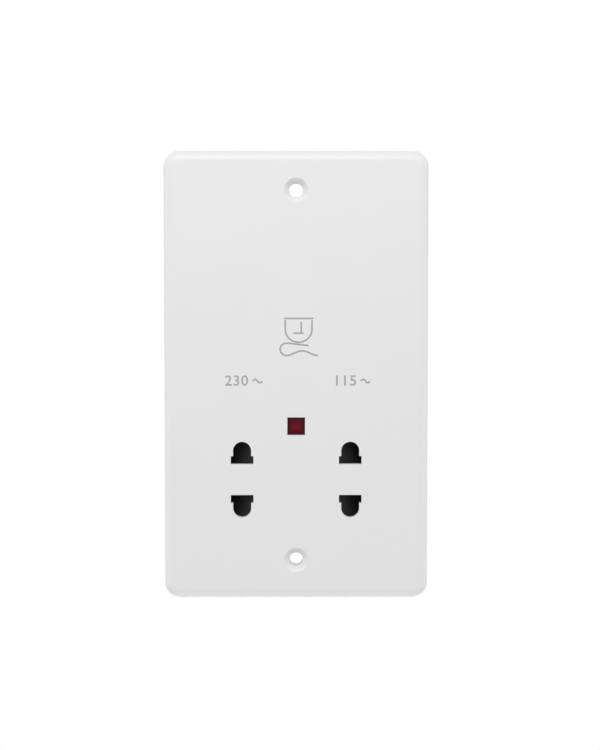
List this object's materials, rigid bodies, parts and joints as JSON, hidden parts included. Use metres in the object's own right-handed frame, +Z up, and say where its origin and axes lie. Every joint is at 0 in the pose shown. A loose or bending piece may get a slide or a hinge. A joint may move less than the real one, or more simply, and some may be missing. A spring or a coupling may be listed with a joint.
{
  "type": "shaver socket",
  "caption": "Bathroom shaver socket: upright white wall plate with slotted outlets, a red indicator, a sliding interlock shutter and an isolating transformer in a vented rear housing.",
  "frame": {"origin": "the middle of the plate's rim in the wall plane, half way between the fixing holes", "axes": "+X to the right seen from the front, +Y into the wall, +Z up"},
  "size_m": [0.086, 0.044, 0.146],
  "materials": {
    "plate_white": "moulded, satin gloss",
    "lens_red": "clear dark red, polished",
    "lamp_glass": "clear",
    "resistor_tan": "lacquered",
    "shutter_black": "moulded, fine matt",
    "spring_steel": "rolled strip",
    "block_black": "moulded, fine matt",
    "contact_brass": "rolled strip",
    "core_steel": "varnished laminations",
    "bobbin_nylon": "moulded",
    "pin_tin": "tinned",
    "winding_copper": "enamelled wire",
    "tape_yellow": "film tape",
    "clamp_zinc": "zinc plated",
    "cutout_black": "moulded",
    "cover_grey": "moulded, fine spark texture",
    "terminal_white": "moulded",
    "terminal_brass": "drawn bar",
    "screw_zinc": "zinc plated",
    "screw_nickel": "nickel plated"
  },
  "bodies": {
    "housing": {"face_plate": "plate_white", "indicator_lens": "lens_red", "neon_lamp": "lamp_glass", "neon_resistor": "resistor_tan", "return_spring_left": "spring_steel", "return_spring_right": "spring_steel", "contact_block": "block_black", "contact_230v": "contact_brass", "contact_115v": "contact_brass", "contact_common": "contact_brass", "contact_retainer": "block_black", "transformer_core": "core_steel", "transformer_bobbin": "bobbin_nylon", "bobbin_pins": "pin_tin", "primary_winding": "winding_copper", "secondary_winding": "winding_copper", "primary_tape": "tape_yellow", "secondary_tape": "tape_yellow", "core_clamp": "clamp_zinc", "thermal_cutout": "cutout_black", "rear_cover": "cover_grey", "terminal_block": "terminal_white", "terminal_live": "terminal_brass", "terminal_neutral": "terminal_brass", "terminal_earth": "terminal_brass", "cover_screws": "screw_zinc", "clamp_screws": "screw_zinc", "terminal_screws": "screw_nickel"},
    "shutter": {"shutter_slider": "shutter_black"}
  },
  "joints": [
    {"name": "shutter_slide", "type": "slide", "parent": "housing", "child": "shutter", "axis": [1, 0, 0], "range_m": [-0.0082, 0.0082], "stiffness_N_per_m": 220, "deforming": ["return_spring_left", "return_spring_right"]}
  ]
}
